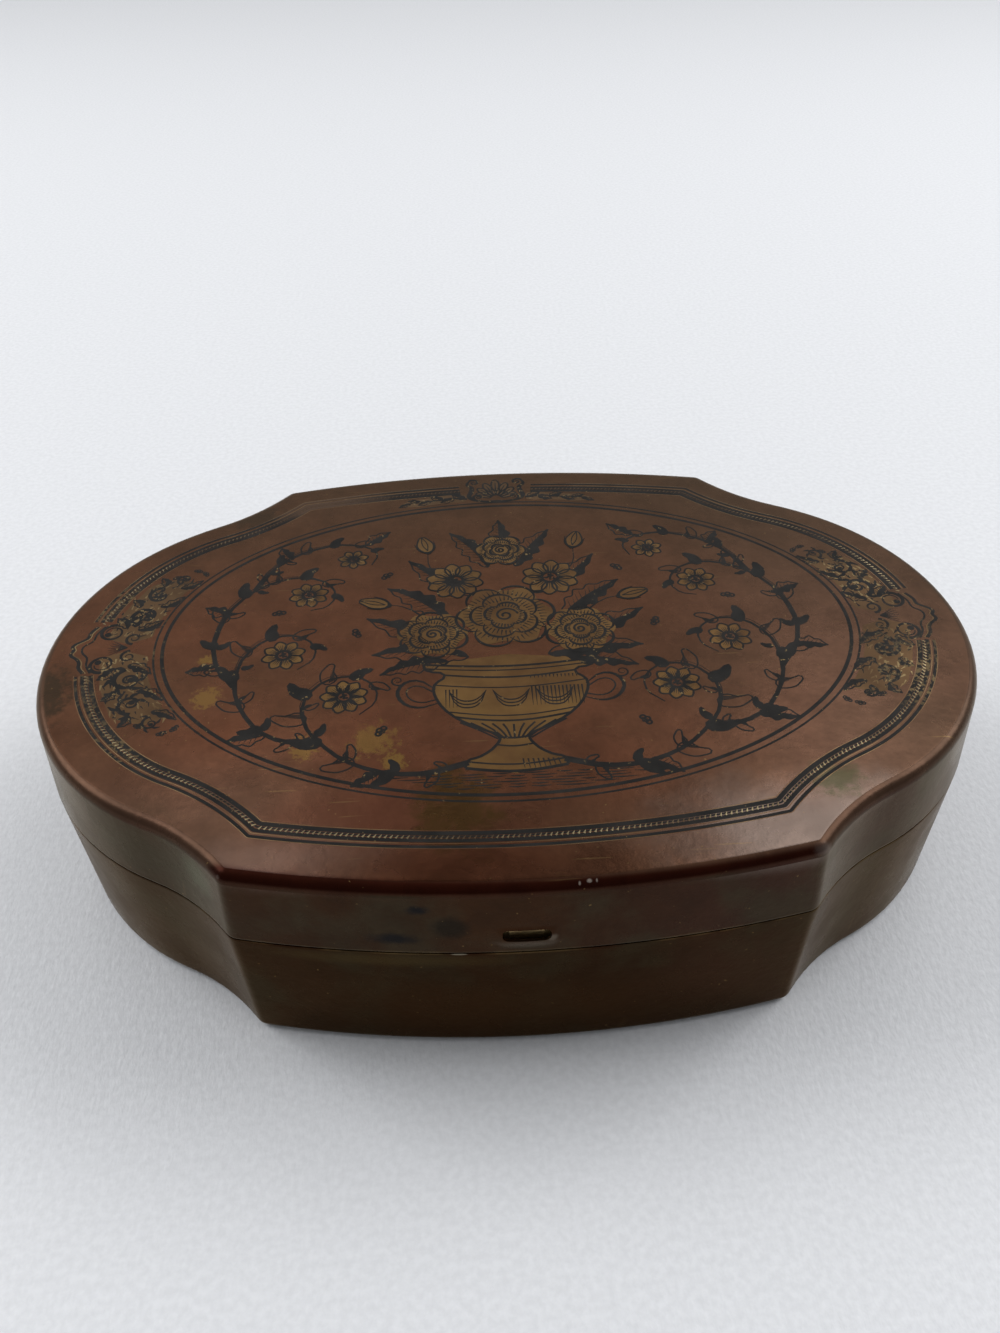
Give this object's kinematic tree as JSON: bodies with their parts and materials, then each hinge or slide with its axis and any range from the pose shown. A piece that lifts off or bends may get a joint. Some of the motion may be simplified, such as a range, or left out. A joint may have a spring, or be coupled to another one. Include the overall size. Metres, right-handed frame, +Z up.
{
  "type": "candy tin",
  "caption": "Low hinged candy tin on a waisted oval plan, with a flush lid, an inner collar, a recessed rear hinge and a snap catch in front.",
  "frame": {"origin": "on the underside, at the centre of the plan", "axes": "+X along the length, +Y from the catch at the front to the hinge at the rear, +Z up through the lid"},
  "size_m": [0.19, 0.1308, 0.046],
  "materials": {
    "lid_copper": "copper-coloured lacquer, worn, semi-gloss",
    "base_copper": "copper-coloured lacquer, darkened, semi-gloss",
    "collar_brass": "plain brass, dulled",
    "hinge_brass": "aged brass",
    "pin_steel": "drawn wire"
  },
  "bodies": {
    "base": {"base_pan": "base_copper", "inner_collar": "collar_brass", "hinge_base_leaf": "hinge_brass", "hinge_pin": "pin_steel"},
    "lid": {"lid_shell": "lid_copper", "hinge_lid_leaf": "hinge_brass"}
  },
  "joints": [
    {"name": "lid_hinge", "type": "hinge", "parent": "base", "child": "lid", "pos_m": [0, 0.06385, 0.03], "axis": [-1, 0, 0], "range_deg": [0, 105]}
  ]
}
